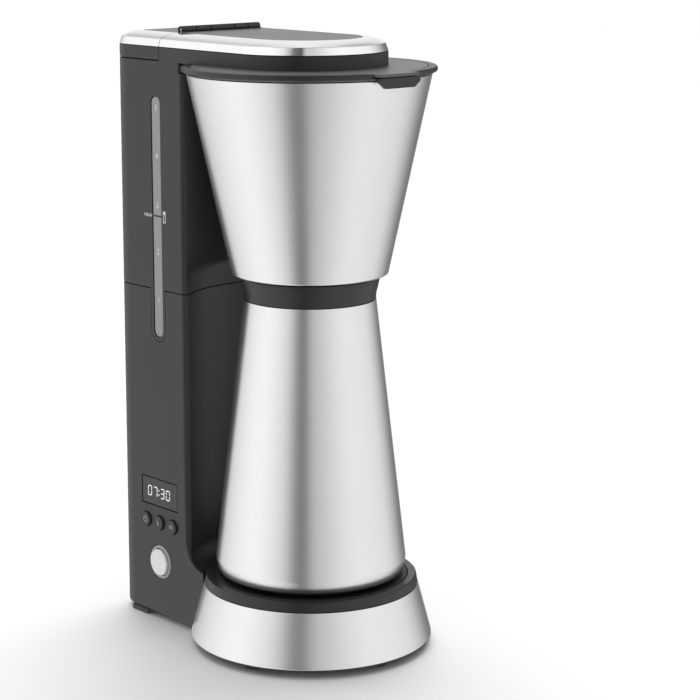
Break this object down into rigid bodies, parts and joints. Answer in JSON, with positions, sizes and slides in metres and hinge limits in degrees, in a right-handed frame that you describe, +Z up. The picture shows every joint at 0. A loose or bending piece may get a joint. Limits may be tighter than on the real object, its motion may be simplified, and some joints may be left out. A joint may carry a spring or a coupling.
{
  "type": "drip coffee maker",
  "caption": "Drip coffee maker with a slim water tower, a removable steel funnel filter and a conical steel vacuum carafe on a round steel base.",
  "frame": {"origin": "centre of the bounding box on the table plane under the feet", "axes": "+Z up, +X from the water tower to the carafe, -Y the side with the display and the keys"},
  "size_m": [0.1936, 0.1352, 0.3332],
  "materials": {
    "housing_plastic": "fine-grained moulded plastic",
    "key_plastic": "fine-grained moulded plastic with pale icons",
    "black_plastic": "satin moulded plastic",
    "satin_panel": "smooth satin plastic",
    "brushed_steel": "fine circumferential brushing",
    "chrome_trim": "polished",
    "silver_plastic": "silver satin",
    "gauge_plastic": "smooth translucent grey",
    "tank_plastic": "smooth translucent",
    "display_lens": "gloss",
    "silicone": "matt translucent silicone",
    "foot_rubber": "matt",
    "heater_aluminium": "as extruded",
    "zinc_steel": "zinc plated",
    "board_laminate": "green laminate"
  },
  "bodies": {
    "machine": {"lower_housing": "housing_plastic", "upper_housing": "housing_plastic", "gauge_window": "gauge_plastic", "tank_shelf": "black_plastic", "water_tank": "tank_plastic", "outlet_grommet": "silicone", "check_valve": "black_plastic", "tank_hose": "silicone", "flow_heater": "heater_aluminium", "heater_bracket": "zinc_steel", "thermostat": "zinc_steel", "thermal_fuse": "zinc_steel", "riser_pipe": "silicone", "water_outlet": "black_plastic", "display_window": "display_lens", "display_module": "black_plastic", "control_board": "board_laminate", "power_key_ring": "chrome_trim", "cable_gland": "foot_rubber", "head_trim": "chrome_trim", "head_panel": "satin_panel", "hinge_pin": "zinc_steel", "base_pan": "black_plastic", "base_skirt": "brushed_steel", "base_ring": "black_plastic", "carafe_platform": "black_plastic", "base_screw_1": "zinc_steel", "base_screw_2": "zinc_steel", "base_screw_3": "zinc_steel", "base_screw_4": "zinc_steel", "front_foot_1": "foot_rubber", "front_foot_2": "foot_rubber", "front_foot_3": "foot_rubber", "rear_foot_1": "foot_rubber", "rear_foot_2": "foot_rubber"},
    "tank_lid": {"tank_lid_body": "housing_plastic", "tank_lid_trim": "chrome_trim", "tank_lid_panel": "satin_panel"},
    "clock_key": {"clock_key": "key_plastic"},
    "hour_key": {"hour_key": "key_plastic"},
    "minute_key": {"minute_key": "key_plastic"},
    "power_key": {"power_key": "silver_plastic"},
    "carafe": {"carafe_shell": "brushed_steel", "carafe_liner": "brushed_steel", "carafe_neck_ring": "black_plastic", "carafe_base_ring": "black_plastic"},
    "carafe_lid": {"carafe_lid": "black_plastic", "carafe_lid_gasket": "silicone"},
    "filter": {"funnel_shell": "brushed_steel", "filter_basket": "black_plastic", "filter_rim": "black_plastic", "filter_lid": "satin_panel", "valve_spring": "zinc_steel"},
    "drip_valve": {"drip_valve": "black_plastic", "valve_seal": "silicone"}
  },
  "joints": [
    {"name": "tank_lid_hinge", "type": "hinge", "parent": "machine", "child": "tank_lid", "pos_m": [-0.0508, 0, 0.3312], "axis": [0, 1, 0], "range_deg": [0, 105]},
    {"name": "clock_key_press", "type": "slide", "parent": "machine", "child": "clock_key", "axis": [0, 1, 0], "range_m": [0, 0.0012], "stiffness_N_per_m": 300},
    {"name": "hour_key_press", "type": "slide", "parent": "machine", "child": "hour_key", "axis": [0, 1, 0], "range_m": [0, 0.0012], "stiffness_N_per_m": 300},
    {"name": "minute_key_press", "type": "slide", "parent": "machine", "child": "minute_key", "axis": [0, 1, 0], "range_m": [0, 0.0012], "stiffness_N_per_m": 300},
    {"name": "power_key_press", "type": "slide", "parent": "machine", "child": "power_key", "axis": [0, 1, 0], "range_m": [0, 0.0014], "stiffness_N_per_m": 400},
    {"name": "carafe_pull", "type": "slide", "parent": "machine", "child": "carafe", "axis": [1, 0, 0], "range_m": [0, 0.16]},
    {"name": "carafe_lid_turn", "type": "hinge", "parent": "carafe", "child": "carafe_lid", "pos_m": [0.0252, 0, 0.19], "axis": [0, 0, 1], "range_deg": [0, 90]},
    {"name": "filter_pull", "type": "slide", "parent": "machine", "child": "filter", "axis": [1, 0, 0], "range_m": [0, 0.15]},
    {"name": "drip_valve_lift", "type": "slide", "parent": "filter", "child": "drip_valve", "axis": [0, 0, 1], "range_m": [0, 0.002], "stiffness_N_per_m": 150, "deforming": ["valve_spring"]}
  ]
}
